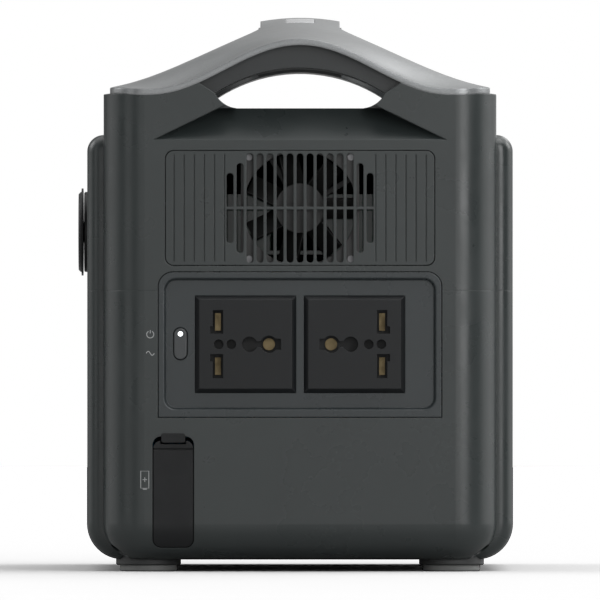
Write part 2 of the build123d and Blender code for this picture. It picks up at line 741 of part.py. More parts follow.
with BuildPart() as expansion_cover_tab:
    with BuildSketch(OUTLET_END.offset(0.7)):
        with Locations((COVER_X, 56.4)):
            RectangleRounded(2 * TAB_HALF, 4, 1)
    extrude(amount=-0.7 - WALL)
    with BuildSketch(OUTLET_END.offset(-WALL)):
        with Locations((COVER_X, 57.8)):
            Rectangle(2 * TAB_HALF, 6.8)
    extrude(amount=-1.4)
    add(lower_case.part, mode=Mode.SUBTRACT)
with BuildPart() as expansion_socket:
    with BuildSketch(socket_front):
        with Locations((COVER_X, SOCKET_MIDDLE)):
            RectangleRounded(15, 36, 2.5)
    extrude(amount=-26)
    with BuildSketch(socket_front):
        with Locations((COVER_X, SOCKET_MIDDLE)):
            RectangleRounded(11.6, 32, 1.6)
    extrude(amount=-18, mode=Mode.SUBTRACT)
    with BuildSketch(socket_front):
        with Locations((COVER_X, SOCKET_MIDDLE)):
            with GridLocations(0, 13, 1, 2):
                Circle(3.6)
            Circle(2.6)
    extrude(amount=-20)
    with BuildSketch(socket_front):
        with Locations((COVER_X, SOCKET_MIDDLE)):
            with GridLocations(0, 13, 1, 2):
                Circle(2.2)
            Circle(1.4)
    extrude(amount=-18, mode=Mode.SUBTRACT)
    with BuildSketch(socket_front.offset(-4)):
        with Locations((COVER_X, SOCKET_MIDDLE)):
            RectangleRounded(23, 42, 2)
            RectangleRounded(15, 36, 2.5, mode=Mode.SUBTRACT)
    extrude(amount=-2)
expansion_socket.part.label = "expansion_socket"
export_step(expansion_socket.part, "parts/expansion_socket.step")

with BuildPart() as expansion_contacts:
    with BuildSketch(socket_front.offset(-18)):
        with Locations((COVER_X, SOCKET_MIDDLE)):
            with GridLocations(0, 13, 1, 2):
                Circle(1.5)
            Circle(0.9)
    extrude(amount=14)

with BuildPart() as socket_contacts:
    add([outlet_contacts.part, expansion_contacts.part])
socket_contacts.part.label = "socket_contacts"
export_step(socket_contacts.part, "parts/socket_contacts.step")

# ---- Front panel --------------------------------------------------------------------------


def usb_a_outline(grow):
    """Rounded opening of a full-size port, grown on every side."""
    return RectangleRounded(13.1 + 2 * grow, 5.7 + 2 * grow, 0.6 + grow)


panel_back = FRONT_SIDE.offset(-FRONT_DEPTH)
button_back = panel_back.offset(-0.3)
usb_a_spots = Locations(*[(-y, FRONT_ROW) for y in USB_A_SPOTS])
jack_spots = Locations(*[(-y, FRONT_ROW) for y in JACK_SPOTS])
small_buttons = {"usb_button": USB_BUTTON_Y, "dc_button": DC_BUTTON_Y}

with BuildPart() as front_panel:
    add(panel_pocket(FRONT_SIDE, FRONT_Y - 2 * SEAM, FRONT_LOW + SEAM, FRONT_HIGH - SEAM, 7.7,
                     FRONT_DEPTH))
    with BuildSketch(FRONT_SIDE):
        with Locations((-DISPLAY_Y, FRONT_TOP_ROW)):
            RectangleRounded(DISPLAY_WIDTH, DISPLAY_TALL, 5)
        with Locations((-POWER_Y, FRONT_TOP_ROW)):
            Circle(POWER_RADIUS + BUTTON_GAP)
        for y in small_buttons.values():
            with Locations((-y, FRONT_ROW)):
                Circle(SMALL_RADIUS + BUTTON_GAP)
        with usb_a_spots:
            usb_a_outline(0)
        with Locations((-USB_C_Y, FRONT_ROW)):
            RectangleRounded(9, 3.2, 1.55)
        with jack_spots:
            Circle(5.5)
        with Locations((-CAR_Y, FRONT_TOP_ROW)):
            Circle(14.5)
    extrude(amount=-FRONT_DEPTH, mode=Mode.SUBTRACT)
front_panel.part.label = "front_panel"
export_step(front_panel.part, "parts/front_panel.step")

with BuildPart() as display_lens:
    with BuildSketch(FRONT_SIDE.offset(-0.2)):
        with Locations((-DISPLAY_Y, FRONT_TOP_ROW)):
            RectangleRounded(DISPLAY_WIDTH, DISPLAY_TALL, 5)
    extrude(amount=-1.8)
display_lens.part.label = "display_lens"
export_step(display_lens.part, "parts/display_lens.step")

with BuildPart() as display_module:
    with BuildSketch(FRONT_SIDE.offset(-2.0)):
        with Locations((-DISPLAY_Y, FRONT_TOP_ROW)):
            RectangleRounded(DISPLAY_WIDTH, DISPLAY_TALL, 5)
    extrude(amount=-5)
display_module.part.label = "display_module"
export_step(display_module.part, "parts/display_module.step")


def round_button(y, height, radius, window):
    """Round push button with a retaining flange behind the front panel and a blind light window."""
    spot = Locations((-y, height))
    with BuildPart() as button:
        with BuildSketch(FRONT_SIDE.offset(SIDE_PROUD)):
            with spot:
                Circle(radius)
        extrude(amount=-(SIDE_PROUD + FRONT_DEPTH + 0.3))
        fillet(button.faces().sort_by(Axis.X)[0].edges(), 0.35)
        with BuildSketch(button_back):
            with spot:
                Circle(radius + 1.2)
        extrude(amount=-1.2)
        with BuildSketch(FRONT_SIDE.offset(SIDE_PROUD)):
            with spot:
                Circle(window)
        extrude(amount=-WINDOW_DEPTH, mode=Mode.SUBTRACT)
    return button.part


power_button = round_button(POWER_Y, FRONT_TOP_ROW, POWER_RADIUS, POWER_WINDOW)
power_button.label = "power_button"
export_step(power_button, "parts/power_button.step")

with BuildPart() as power_button_light:
    with BuildSketch(FRONT_SIDE.offset(SIDE_PROUD - WINDOW_DEPTH)):
        with Locations((-POWER_Y, FRONT_TOP_ROW)):
            Circle(POWER_WINDOW)
    extrude(amount=WINDOW_DEPTH)
power_button_light.part.label = "power_button_light"
export_step(power_button_light.part, "parts/power_button_light.step")

for name, y in small_buttons.items():
    small_button = round_button(y, FRONT_ROW, SMALL_RADIUS, SMALL_WINDOW)
    small_button.label = name
    export_step(small_button, f"parts/{name}.step")

with BuildPart() as usb_a_ports:
    with BuildSketch(FRONT_SIDE.offset(-0.2)):
        with usb_a_spots:
            usb_a_outline(0)
    extrude(amount=-14)
    with BuildSketch(FRONT_SIDE.offset(-0.2)):
        with usb_a_spots:
            usb_a_outline(-0.4)
    extrude(amount=-13, mode=Mode.SUBTRACT)
usb_a_ports.part.label = "usb_a_ports"
export_step(usb_a_ports.part, "parts/usb_a_ports.step")

with BuildPart() as usb_a_tongues:
    with BuildSketch(FRONT_SIDE.offset(-13.2)):
        with Locations(*[(-y, FRONT_ROW + 1.2) for y in USB_A_SPOTS]):
            Rectangle(11, 1.9)
    extrude(amount=9.5)
usb_a_tongues.part.label = "usb_a_tongues"
export_step(usb_a_tongues.part, "parts/usb_a_tongues.step")

with BuildPart() as usb_c_port:
    with BuildSketch(FRONT_SIDE.offset(-0.2)):
        with Locations((-USB_C_Y, FRONT_ROW)):
            RectangleRounded(9, 3.2, 1.55)
    extrude(amount=-9)
    with BuildSketch(FRONT_SIDE.offset(-0.2)):
        with Locations((-USB_C_Y, FRONT_ROW)):
            RectangleRounded(8.34, 2.56, 1.2)
    extrude(amount=-8, mode=Mode.SUBTRACT)
    with BuildSketch(FRONT_SIDE.offset(-8.2)):
        with Locations((-USB_C_Y, FRONT_ROW)):
            Rectangle(6.7, 0.7)
    extrude(amount=5.5)
usb_c_port.part.label = "usb_c_port"
export_step(usb_c_port.part, "parts/usb_c_port.step")

with BuildPart() as dc_jacks:
    with BuildSketch(FRONT_SIDE.offset(-0.2)):
        with jack_spots:
            Circle(5.5)
    extrude(amount=-13)
    with BuildSketch(FRONT_SIDE.offset(-0.2)):
        with jack_spots:
            Circle(2.85)
    extrude(amount=-10, mode=Mode.SUBTRACT)
dc_jacks.part.label = "dc_jacks"
export_step(dc_jacks.part, "parts/dc_jacks.step")

with BuildPart() as dc_jack_pins:
    with BuildSketch(FRONT_SIDE.offset(-10.2)):
        with jack_spots:
            Circle(1.05)
    extrude(amount=8.5)
with BuildPart() as front_board:
    with BuildSketch(FRONT_SIDE.offset(-14.2)):
        with Locations((0, FRONT_ROW)):
            Rectangle(208, 20)
    extrude(amount=-1.6)
front_board.part.label = "front_board"
export_step(front_board.part, "parts/front_board.step")

# ---- Car outlet and its hinged cap --------------------------------------------------------

car_spot = Locations((-CAR_Y, FRONT_TOP_ROW))

with BuildPart() as car_socket:
    with BuildSketch(FRONT_SIDE.offset(BEZEL_PROUD)):
        with car_spot:
            Circle(17)
    extrude(amount=-BEZEL_PROUD)
    chamfer(car_socket.faces().sort_by(Axis.X)[0].edges(), 0.4)
    with BuildSketch(FRONT_SIDE):
        with car_spot:
            Circle(14.5)
    extrude(amount=-FRONT_DEPTH)
    with BuildSketch(FRONT_SIDE.offset(-FRONT_DEPTH)):
        with car_spot:
            Circle(12.6)
    extrude(amount=-(CAR_DEPTH + 2 - FRONT_DEPTH))
    with BuildSketch(FRONT_SIDE.offset(BEZEL_PROUD)):
        with car_spot:
            Circle(CAR_BORE)
    extrude(amount=-(CAR_DEPTH + BEZEL_PROUD), mode=Mode.SUBTRACT)
    with BuildSketch(FRONT_SIDE.offset(-CAR_DEPTH)):
        with car_spot:
            Circle(CAR_CONTACT)
    extrude(amount=-2, mode=Mode.SUBTRACT)
car_socket.part.label = "car_socket"
export_step(car_socket.part, "parts/car_socket.step")

with BuildPart() as car_socket_contact:
    with BuildSketch(FRONT_SIDE.offset(-CAR_DEPTH)):
        with car_spot:
            Circle(CAR_CONTACT)
    extrude(amount=-2)

with BuildPart() as dc_contacts:
    add([dc_jack_pins.part, car_socket_contact.part])
dc_contacts.part.label = "dc_contacts"
export_step(dc_contacts.part, "parts/dc_contacts.step")

CAP_BACK = BEZEL_PROUD + 0.35
CAP_HINGE_Y = CAR_Y + CAP_RADIUS + 3.0

with BuildPart() as car_cap:
    with BuildSketch(FRONT_SIDE.offset(CAP_BACK)):
        with car_spot:
            Circle(CAP_RADIUS)
        with Locations((-(CAR_Y + CAP_HINGE_Y - 0.6) / 2, FRONT_TOP_ROW)):
            Rectangle(CAP_HINGE_Y - 0.6 - CAR_Y, 9)
    extrude(amount=0.8)
    with BuildSketch(FRONT_SIDE.offset(CAP_BACK + 0.8)):
        with car_spot:
            Circle(CAP_RADIUS - 1.5)
    extrude(amount=CAP_PROUD - CAP_BACK - 0.8)
    chamfer(car_cap.faces().sort_by(Axis.X)[0].edges(), 0.9)
car_cap.part.label = "car_cap"
export_step(car_cap.part, "parts/car_cap.step")

with BuildPart() as car_cap_tab:
    with BuildSketch(FRONT_SIDE):
        with Locations((-CAP_HINGE_Y - 4.2, FRONT_TOP_ROW)):
            RectangleRounded(7.2, 9, 1.5)
    extrude(amount=CAP_BACK + 0.8)

with BuildPart() as hinge_tabs:
    add([expansion_cover_tab.part, car_cap_tab.part])
hinge_tabs.part.label = "hinge_tabs"
export_step(hinge_tabs.part, "parts/hinge_tabs.step")

# ---- Far end: inlets, reset button and their cover ----------------------------------------

recess_plane = FAR_END.offset(-INLET_RECESS_DEPTH)
recess_middle = (INLET_RECESS_LOW + INLET_RECESS_HIGH) / 2
mains_spot = Locations((MAINS_X, INLET_HEIGHT))
solar_spot = Locations((SOLAR_X, INLET_HEIGHT))
reset_spot = Locations((0, RESET_HEIGHT))
flap_hinge = INLET_RECESS_HIGH - 1.2

with BuildPart() as input_panel:
    add(panel_pocket(FAR_END, PANEL_X - 2 * SEAM, PANEL_LOW + SEAM, PANEL_HIGH - SEAM, 6,
                     PANEL_DEPTH, square_foot=True))
    with BuildSketch(FAR_END):
        with Locations((0, recess_middle)):
            RectangleRounded(INLET_RECESS_X, INLET_RECESS_HIGH - INLET_RECESS_LOW, 1)
    extrude(amount=-INLET_RECESS_DEPTH, mode=Mode.SUBTRACT)
    with BuildSketch(FAR_END):
        with mains_spot:
            Rectangle(28, 20.4)
        with solar_spot:
            RectangleRounded(20, 12, 2)
        with reset_spot:
            Circle(RESET_RADIUS + BUTTON_GAP)
    extrude(amount=-PANEL_DEPTH, mode=Mode.SUBTRACT)
input_panel.part.label = "input_panel"
export_step(input_panel.part, "parts/input_panel.step")

with BuildPart() as mains_inlet:
    with BuildSketch(recess_plane):
        with mains_spot:
            Rectangle(28, 20.4)
    extrude(amount=-20)
    with BuildSketch(recess_plane) as mains_mouth:
        with mains_spot:
            Rectangle(24, 16.4)
        chamfer(mains_mouth.vertices().group_by(Axis.Y)[-1], 4.5)
    extrude(amount=-16, mode=Mode.SUBTRACT)
mains_inlet.part.label = "mains_inlet"
export_step(mains_inlet.part, "parts/mains_inlet.step")

with BuildPart() as solar_inlet:
    with BuildSketch(recess_plane):
        with solar_spot:
            RectangleRounded(20, 12, 2)
    extrude(amount=-18)
    with BuildSketch(recess_plane) as solar_mouth:
        with solar_spot:
            Rectangle(16, 8.2)
        chamfer(solar_mouth.vertices().group_by(Axis.X)[-1], 2.5)
    extrude(amount=-14, mode=Mode.SUBTRACT)
solar_inlet.part.label = "solar_inlet"
export_step(solar_inlet.part, "parts/solar_inlet.step")

with BuildPart() as inlet_pins:
    with BuildSketch(recess_plane.offset(-16)):
        with Locations((MAINS_X - 7, INLET_HEIGHT - 2), (MAINS_X + 7, INLET_HEIGHT - 2),
                       (MAINS_X, INLET_HEIGHT + 2)):
            Rectangle(2, 4)
    extrude(amount=9)
    with BuildSketch(recess_plane.offset(-14)):
        with Locations((SOLAR_X - 3.6, INLET_HEIGHT), (SOLAR_X + 3.6, INLET_HEIGHT)):
            Circle(1.75)
    extrude(amount=7)
inlet_pins.part.label = "inlet_pins"
export_step(inlet_pins.part, "parts/inlet_pins.step")

with BuildPart() as reset_button:
    with BuildSketch(FAR_END.offset(BUTTON_PROUD)):
        with reset_spot:
            Circle(RESET_RADIUS)
    extrude(amount=-(BUTTON_PROUD + PANEL_DEPTH + 0.3))
    fillet(reset_button.faces().sort_by(Axis.Y)[-1].edges(), 0.4)
    with BuildSketch(FAR_END.offset(-PANEL_DEPTH - 0.3)):
        with reset_spot:
            Circle(RESET_RADIUS + 1.2)
    extrude(amount=-1.2)
reset_button.part.label = "reset_button"
export_step(reset_button.part, "parts/reset_button.step")

with BuildPart() as input_cover:
    with BuildSketch(FAR_END.offset(-0.6)):
        with Locations((0, (INLET_RECESS_LOW + 0.4 + flap_hinge - 0.5) / 2)):
            RectangleRounded(INLET_RECESS_X - 0.8, flap_hinge - 0.5 - INLET_RECESS_LOW - 0.4, 2)
    extrude(amount=-FLAP_THICKNESS)
    with BuildSketch(FAR_END):
        with Locations((0, INLET_RECESS_LOW + 3.4)):
            RectangleRounded(16, 2.4, 1)
    extrude(amount=-1.2)
input_cover.part.label = "input_cover"
export_step(input_cover.part, "parts/input_cover.step")

# ---- Switches behind the buttons ----------------------------------------------------------

with BuildPart() as button_switches:
    with BuildSketch(OUTLET_END.offset(-PANEL_DEPTH - 1.5 - BUTTON_TRAVEL - SWITCH_CLEARANCE)):
        with button_spot:
            Rectangle(6, 6)
    extrude(amount=-4)
    with BuildSketch(FAR_END.offset(-PANEL_DEPTH - 1.5 - BUTTON_TRAVEL - SWITCH_CLEARANCE)):
        with reset_spot:
            Rectangle(6, 6)
    extrude(amount=-4)
    with BuildSketch(button_back.offset(-1.2 - BUTTON_TRAVEL - SWITCH_CLEARANCE)):
        with Locations((-POWER_Y, FRONT_TOP_ROW), (-USB_BUTTON_Y, FRONT_ROW), (-DC_BUTTON_Y, FRONT_ROW)):
            Rectangle(6, 6)
    extrude(amount=-4)
button_switches.part.label = "button_switches"
export_step(button_switches.part, "parts/button_switches.step")

# ---- Cell pack ----------------------------------------------------------------------------

PACK_X_SPAN = CELL_PITCH * CELL_ROWS_X + 4
PACK_Y_SPAN = CELL_PITCH * CELL_ROWS_Y + 4

with BuildPart() as battery_cells:
    with BuildSketch(Plane.XY.offset(CELL_BASE)):
        with Locations((0, PACK_Y)):
            with GridLocations(CELL_PITCH, CELL_PITCH, CELL_ROWS_X, CELL_ROWS_Y):
                Circle(CELL_RADIUS)
    extrude(amount=CELL_LENGTH)
battery_cells.part.label = "battery_cells"
export_step(battery_cells.part, "parts/battery_cells.step")


def cell_holder(base):
    """Plate with a round seat for every cell."""
    with BuildPart() as holder:
        with BuildSketch(Plane.XY.offset(base)):
            with Locations((0, PACK_Y)):
                RectangleRounded(PACK_X_SPAN, PACK_Y_SPAN, 6)
                with GridLocations(CELL_PITCH, CELL_PITCH, CELL_ROWS_X, CELL_ROWS_Y):
                    Circle(CELL_RADIUS, mode=Mode.SUBTRACT)
        extrude(amount=HOLDER_THICKNESS)
    return holder.part


with BuildPart() as cell_holders:
    add([cell_holder(CELL_BASE + 0.5), cell_holder(CELL_TOP - 0.5 - HOLDER_THICKNESS)])
cell_holders.part.label = "cell_holders"
export_step(cell_holders.part, "parts/cell_holders.step")

with BuildPart() as bus_bars:
    with BuildSketch(Plane.XY.offset(CELL_TOP)):
        with Locations((0, PACK_Y)):
            with GridLocations(2 * CELL_PITCH, 0, CELL_ROWS_X // 2, 1):
                Rectangle(2 * CELL_PITCH - 3, CELL_PITCH * CELL_ROWS_Y - 6)
    extrude(amount=BAR_THICKNESS)
    with BuildSketch(Plane.XY.offset(CELL_BASE - BAR_THICKNESS)):
        with Locations((0, PACK_Y)):
            with GridLocations(2 * CELL_PITCH, 0, CELL_ROWS_X // 2 - 1, 1):
                Rectangle(2 * CELL_PITCH - 3, CELL_PITCH * CELL_ROWS_Y - 6)
            with GridLocations(CELL_PITCH * (CELL_ROWS_X - 1), 0, 2, 1):
                Rectangle(CELL_PITCH - 3, CELL_PITCH * CELL_ROWS_Y - 6)
    extrude(amount=BAR_THICKNESS)
bus_bars.part.label = "bus_bars"
export_step(bus_bars.part, "parts/bus_bars.step")

with BuildPart() as pack_cushions:
    with BuildSketch(Plane.XY.offset(BODY_BASE + WALL)):
        with Locations((0, PACK_Y)):
            with GridLocations(4 * CELL_PITCH - 8, 0, 2, 1):
                Rectangle(14, 180)
    extrude(amount=CELL_BASE - BAR_THICKNESS - BODY_BASE - WALL)
pack_cushions.part.label = "pack_cushions"
export_step(pack_cushions.part, "parts/pack_cushions.step")

# ---- Power electronics --------------------------------------------------------------------


with BuildPart() as battery_board:
    with BuildSketch(Plane.XY.offset(BATTERY_BOARD)):
        with Locations((10, PACK_Y)):
            RectangleRounded(110, 150, 3)
    extrude(amount=BOARD)
    with BuildSketch(Plane.XY.offset(BATTERY_BOARD + BOARD)):
        with Locations((10, PACK_Y)):
            with GridLocations(14, 22, 6, 5):
                Rectangle(9, 12)
    extrude(amount=2.4)
battery_board.part.label = "battery_board"
export_step(battery_board.part, "parts/battery_board.step")

with BuildPart() as board_posts:
    with BuildSketch(Plane.XY.offset(CELL_TOP + BAR_THICKNESS)):
        with Locations((10, PACK_Y)):
            with GridLocations(100, 140, 2, 2):
                Circle(3)
    extrude(amount=BATTERY_BOARD - CELL_TOP - BAR_THICKNESS)
    with BuildSketch(Plane.XY.offset(BATTERY_BOARD + BOARD)):
        with Locations((10, PACK_Y)):
            with GridLocations(100, 140, 2, 2):
                Circle(3)
    extrude(amount=INVERTER_BOARD - BATTERY_BOARD - BOARD)
    with BuildSketch(Plane.XY.offset(INVERTER_BOARD + BOARD)):
        with Locations((10, PACK_Y)):
            with GridLocations(100, 140, 2, 2):
                Circle(3)
    extrude(amount=UPPER_BOARD - INVERTER_BOARD - BOARD)
board_posts.part.label = "board_posts"
export_step(board_posts.part, "parts/board_posts.step")

with BuildPart() as inverter_board:
    with BuildSketch(Plane.XY.offset(INVERTER_BOARD)):
        with Locations((14, PACK_Y)):
            RectangleRounded(130, 190, 3)
    extrude(amount=BOARD)
inverter_board.part.label = "inverter_board"
export_step(inverter_board.part, "parts/inverter_board.step")

with BuildPart() as heat_sinks:
    for x in (30, 62):
        with BuildSketch(Plane.XZ.offset(56)):
            with Locations((x, INVERTER_BOARD + BOARD)):
                Rectangle(22, 6, align=(Align.CENTER, Align.MIN))
                with Locations((0, 6)):
                    with GridLocations(4, 0, 6, 1):
                        Rectangle(1.4, 24, align=(Align.CENTER, Align.MIN))
        extrude(amount=-112)
heat_sinks.part.label = "heat_sinks"
export_step(heat_sinks.part, "parts/heat_sinks.step")

with BuildPart() as transformer:
    with BuildSketch(Plane.XY.offset(INVERTER_BOARD + BOARD)):
        with Locations((-12, 48)):
            Rectangle(40, 42)
    extrude(amount=30)
    with BuildSketch(Plane.XY.offset(INVERTER_BOARD + BOARD)):
        with Locations((-12, 48)):
            Circle(17)
    extrude(amount=34)
transformer.part.label = "transformer"
export_step(transformer.part, "parts/transformer.step")

with BuildPart() as capacitors:
    with BuildSketch(Plane.XY.offset(INVERTER_BOARD + BOARD)):
        with Locations((-10, -30)):
            with GridLocations(26, 26, 2, 3):
                Circle(11)
    extrude(amount=34)
    fillet(capacitors.edges().group_by(Axis.Z)[-1], 1.2)
capacitors.part.label = "capacitors"
export_step(capacitors.part, "parts/capacitors.step")

with BuildPart() as charger_board:
    with BuildSketch(Plane.XY.offset(UPPER_BOARD)):
        with Locations((14, PACK_Y + 8)):
            RectangleRounded(124, 166, 3)
    extrude(amount=BOARD)
    with BuildSketch(Plane.XY.offset(UPPER_BOARD + BOARD)):
        with Locations((-22, -54)):
            RectangleRounded(22, 18, 2)
        with Locations((26, -52)):
            Rectangle(30, 22)
        with Locations((0, 20)):
            with GridLocations(34, 40, 2, 2):
                Circle(8)
        with Locations((58, 10)):
            Rectangle(18, 90)
    extrude(amount=24)
charger_board.part.label = "charger_board"
export_step(charger_board.part, "parts/charger_board.step")

with BuildPart() as power_leads:
    for x in (-30, -18):
        with BuildSketch(Plane.XY.offset(CELL_TOP + BAR_THICKNESS)):
            with Locations((x - 36, 80)):
                Circle(2.4)
        extrude(amount=40)
power_leads.part.label = "power_leads"
export_step(power_leads.part, "parts/power_leads.step")
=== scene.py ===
"""A portable power station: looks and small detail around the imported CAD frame. Metres, +Z up."""
import math

import bmesh
import bpy
from mathutils import Matrix, Vector


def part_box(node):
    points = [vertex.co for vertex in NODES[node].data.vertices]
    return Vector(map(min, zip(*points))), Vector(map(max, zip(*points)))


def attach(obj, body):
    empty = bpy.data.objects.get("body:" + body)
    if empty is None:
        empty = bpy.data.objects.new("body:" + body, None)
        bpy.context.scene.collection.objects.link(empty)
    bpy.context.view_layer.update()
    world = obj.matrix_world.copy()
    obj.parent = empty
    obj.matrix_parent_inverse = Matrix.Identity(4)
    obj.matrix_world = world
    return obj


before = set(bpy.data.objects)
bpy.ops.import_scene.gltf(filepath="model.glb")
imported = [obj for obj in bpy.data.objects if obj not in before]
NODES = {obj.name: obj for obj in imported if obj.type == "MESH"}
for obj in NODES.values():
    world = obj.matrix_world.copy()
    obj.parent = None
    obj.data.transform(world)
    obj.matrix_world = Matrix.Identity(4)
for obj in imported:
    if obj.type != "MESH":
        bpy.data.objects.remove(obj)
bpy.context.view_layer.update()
MM = 0.001

# The photo shows almost no perspective, so the lens is very long and the camera stands far back.
LENS_MM = 1400
SENSOR_MM = 36
VIEW_WIDTH = 0.2532         # what the picture's width covers at the outlet end
VIEW_MIDDLE = 0.1146        # height of the picture's middle above the floor
CAMERA_REACH = 200
FLOOR_SIZE = 6
WHITE = (1, 1, 1, 1)

PRINT_LIFT = 0.00001        # gap between a surface and the print on it, so the two never share a plane
PRINT_THICKNESS = 0.00004
END_LINE = 0.32 * MM        # line width of the marks at the outlet end
SIDE_LINE = 0.35 * MM       # line width of the marks at the display side
BUTTON_LINE = 0.34 * MM     # line width of the marks on and beside the small buttons


# ---- Materials ----------------------------------------------------------------------------

def new_material(name, colour, roughness, metallic=0.0, specular=0.5, coat=0.0):
    material = bpy.data.materials.new(name)
    material.use_nodes = True
    shader = material.node_tree.nodes["Principled BSDF"]
    shader.inputs["Base Color"].default_value = (*colour, 1)
    shader.inputs["Roughness"].default_value = roughness
    shader.inputs["Metallic"].default_value = metallic
    shader.inputs["Specular IOR Level"].default_value = specular
    shader.inputs["Coat Weight"].default_value = coat
    return material


def add_node(material, kind, **values):
    node = material.node_tree.nodes.new(kind)
    for key, value in values.items():
        if key in node.inputs:
            node.inputs[key].default_value = value
        else:
            setattr(node, key, value)
    return node


def link(material, source, target):
    material.node_tree.links.new(source, target)


def noise(material, scale, detail, stretch=(1, 1, 1)):
    """A noise value over the object's own coordinates."""
    place = add_node(material, "ShaderNodeTexCoord")
    mapping = add_node(material, "ShaderNodeMapping")
    mapping.inputs["Scale"].default_value = stretch
    link(material, place.outputs["Object"], mapping.inputs["Vector"])
    texture = add_node(material, "ShaderNodeTexNoise", Scale=scale, Detail=detail)
    link(material, mapping.outputs["Vector"], texture.inputs["Vector"])
    return texture.outputs["Fac"]


NOISE_MIDDLE = (0.35, 0.65)     # the band where most of a noise value lies


def vary(material, value, low, high, socket):
    """Maps a noise value to a range of roughness or another plain number."""
    spread = add_node(material, "ShaderNodeMapRange")
    spread.inputs["From Min"].default_value = NOISE_MIDDLE[0]
    spread.inputs["From Max"].default_value = NOISE_MIDDLE[1]
    spread.inputs["To Min"].default_value = low
    spread.inputs["To Max"].default_value = high
    link(material, value, spread.inputs["Value"])
    shader = material.node_tree.nodes["Principled BSDF"]
    link(material, spread.outputs["Result"], shader.inputs[socket])


def tint(material, value, low, high):
    """Moves the base colour between two tones."""
    ramp = add_node(material, "ShaderNodeValToRGB")
    ramp.color_ramp.elements[0].position = NOISE_MIDDLE[0]
    ramp.color_ramp.elements[1].position = NOISE_MIDDLE[1]
    ramp.color_ramp.elements[0].color = (*low, 1)
    ramp.color_ramp.elements[1].color = (*high, 1)
    link(material, value, ramp.inputs["Fac"])
    shader = material.node_tree.nodes["Principled BSDF"]
    link(material, ramp.outputs["Color"], shader.inputs["Base Color"])


def emboss(material, value, strength, distance, edge=0.0):
    """Fine bump from a noise value, with edges rounded by a bevel normal."""
    bump = add_node(material, "ShaderNodeBump", Strength=strength, Distance=distance)
    link(material, value, bump.inputs["Height"])
    if edge:
        bevel = add_node(material, "ShaderNodeBevel", samples=6)
        bevel.inputs["Radius"].default_value = edge
        link(material, bevel.outputs["Normal"], bump.inputs["Normal"])
    shader = material.node_tree.nodes["Principled BSDF"]
    link(material, bump.outputs["Normal"], shader.inputs["Normal"])


def scaled(colour, factor):
    return tuple(min(1.0, c * factor) for c in colour)


def moulded(name, colour, roughness=0.5, grain=2400, depth=0.00005, edge=0.0005, contrast=0.04,
            specular=0.5, strength=0.14):
    """Moulded plastic: fine spark-eroded grain, slight tone and gloss changes, soft edges."""
    material = new_material(name, colour, roughness, specular=specular)
    tint(material, noise(material, 28, 3), scaled(colour, 1 - contrast), scaled(colour, 1 + contrast))
    vary(material, noise(material, 60, 5), roughness - 0.05, roughness + 0.06, "Roughness")
    emboss(material, noise(material, grain, 3), strength, depth, edge)
    return material


def painted(name, colour, roughness=0.34):
    """Satin metallic paint: tiny flakes of light and dark, clear coat on top."""
    material = new_material(name, colour, roughness, metallic=0.55, coat=0.35)
    material.node_tree.nodes["Principled BSDF"].inputs["Coat Roughness"].default_value = 0.16
    tint(material, noise(material, 2600, 2), scaled(colour, 0.9), scaled(colour, 1.1))
    vary(material, noise(material, 45, 4), roughness - 0.04, roughness + 0.05, "Roughness")
    emboss(material, noise(material, 2600, 2), 0.06, 0.00002, 0.0013)
    return material


def rubbery(name, colour, roughness=0.72):
    material = new_material(name, colour, roughness, specular=0.28)
    material.node_tree.nodes["Principled BSDF"].inputs["Sheen Weight"].default_value = 0.08
    tint(material, noise(material, 70, 4), scaled(colour, 0.88), scaled(colour, 1.14))
    vary(material, noise(material, 110, 4), roughness - 0.06, roughness + 0.07, "Roughness")
    emboss(material, noise(material, 1500, 4), 0.25, 0.00006, 0.0005)
    return material


def metal(name, colour, roughness=0.25, brushed=(1, 1, 1)):
    material = new_material(name, colour, roughness, metallic=1.0)
    tint(material, noise(material, 90, 4, brushed), scaled(colour, 0.85), scaled(colour, 1.12))
    vary(material, noise(material, 300, 3, brushed), roughness - 0.08, roughness + 0.12, "Roughness")
    emboss(material, noise(material, 500, 2, brushed), 0.15, 0.00004, 0.0002)
    return material


def glossy(name, colour, roughness=0.08):
    material = new_material(name, colour, roughness, coat=0.5)
    vary(material, noise(material, 35, 5), roughness, roughness + 0.06, "Roughness")
    tint(material, noise(material, 20, 2), scaled(colour, 0.9), scaled(colour, 1.1))
    emboss(material, noise(material, 12, 1), 0.05, 0.0001, 0.0003)
    return material


def lit(name, colour, strength):
    material = new_material(name, colour, 0.4)
    shader = material.node_tree.nodes["Principled BSDF"]
    shader.inputs["Emission Color"].default_value = (*colour, 1)
    shader.inputs["Emission Strength"].default_value = strength
    vary(material, noise(material, 400, 2), 0.3, 0.45, "Roughness")
    return material


CASE = (0.024, 0.0295, 0.0295)
case_plastic = moulded("case_plastic", CASE, roughness=0.3)
panel_plastic = moulded("panel_plastic", (0.023, 0.0285, 0.0305), roughness=0.3)
grille_plastic = moulded("grille_plastic", (0.024, 0.0295, 0.0295), roughness=0.32)
handle_paint = painted("handle_paint", (0.235, 0.243, 0.247))
frame_plastic = moulded("frame_plastic", (0.020, 0.023, 0.024), roughness=0.34)
grip_rubber = rubbery("grip_rubber", (0.020, 0.022, 0.023))
cover_rubber = rubbery("cover_rubber", (0.0065, 0.0072, 0.008), roughness=0.5)
foot_rubber = rubbery("foot_rubber", (0.20, 0.205, 0.20), roughness=0.68)
foot_plastic = moulded("foot_plastic", (0.045, 0.047, 0.047), roughness=0.55)
socket_plastic = moulded("socket_plastic", (0.006, 0.007, 0.008), roughness=0.34, grain=1200,
                         depth=0.00003, edge=0.0003, specular=0.32)
button_plastic = moulded("button_plastic", (0.040, 0.044, 0.046), roughness=0.4, depth=0.00003)
reset_plastic = moulded("reset_plastic", (0.30, 0.025, 0.02), roughness=0.4, depth=0.00003)
